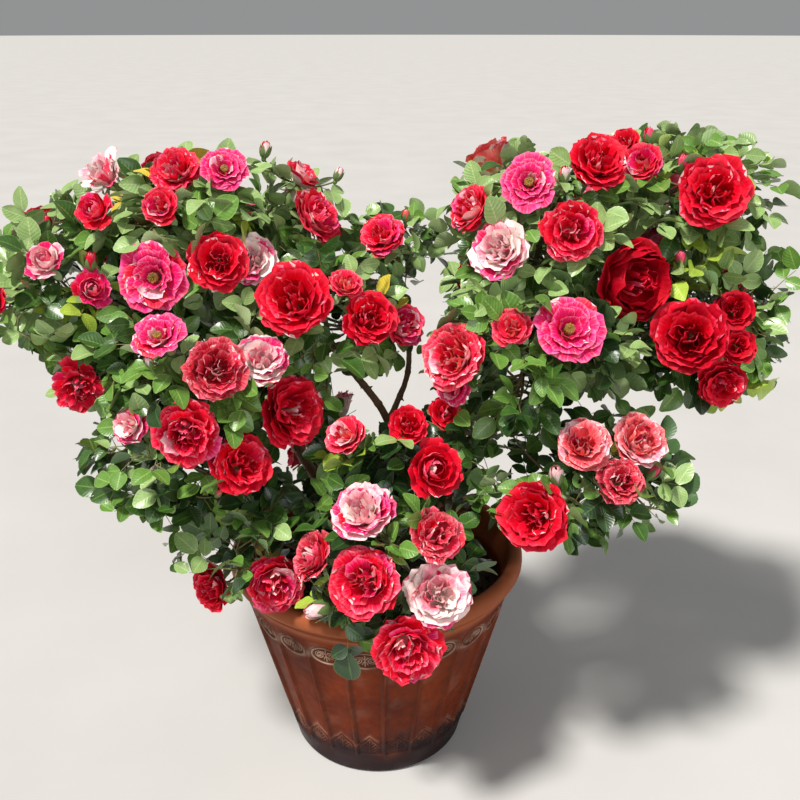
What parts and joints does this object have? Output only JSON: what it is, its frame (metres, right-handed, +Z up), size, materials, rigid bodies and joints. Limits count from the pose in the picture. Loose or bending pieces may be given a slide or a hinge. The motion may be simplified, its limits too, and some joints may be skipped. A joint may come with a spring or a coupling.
{
  "type": "rose bush in a clay pot",
  "caption": "Wide, two-lobed rose bush in full red and cream bloom, growing from a low knuckle of canes in a flared, panelled clay pot.",
  "frame": {"origin": "middle of the pot's flat underside, on the surface that it stands on", "axes": "+Z up, +X across the front to the right, along the bush's widest spread, +Y from the front to the back"},
  "size_m": [1.301, 0.787, 1.1391],
  "materials": {
    "fired_clay": "weathered unglazed clay, matt",
    "potting_soil": "damp crumbly potting mix, matt",
    "old_wood": "rough grey-brown bark",
    "cane_bark": "smooth brown-red cane bark, satin",
    "foliage": "glossy green leaves, paler beneath",
    "petals": "soft petals, red with paler edges, satin"
  },
  "bodies": {
    "root": {"pot": "fired_clay", "soil": "potting_soil", "stem_knuckle": "old_wood", "cane_left": "cane_bark", "cane_inner": "cane_bark", "cane_left_front": "cane_bark", "cane_low_left": "cane_bark", "cane_low_front": "cane_bark", "cane_middle": "cane_bark", "cane_right": "cane_bark", "cane_right_front": "cane_bark", "cane_back_left": "cane_bark", "cane_back_right": "cane_bark", "cane_back_low": "cane_bark", "bough_outer_left": "cane_bark", "bough_low_left": "cane_bark", "bough_bridge": "cane_bark", "bough_crown_right": "cane_bark", "bough_outer_right": "cane_bark", "bough_low_right": "cane_bark", "mass_left_top": "foliage", "mass_left_outer": "foliage", "mass_left_middle": "foliage", "mass_left_inner": "foliage", "mass_left_low": "foliage", "mass_low_left": "foliage", "mass_low_front": "foliage", "mass_middle": "foliage", "mass_right_low": "foliage", "mass_right_middle": "foliage", "mass_right_top": "foliage", "mass_right_crown": "foliage", "mass_right_outer": "foliage", "mass_bridge": "foliage", "mass_back_left": "foliage", "mass_back_right": "foliage", "mass_back_low": "foliage"}
  },
  "joints": []
}
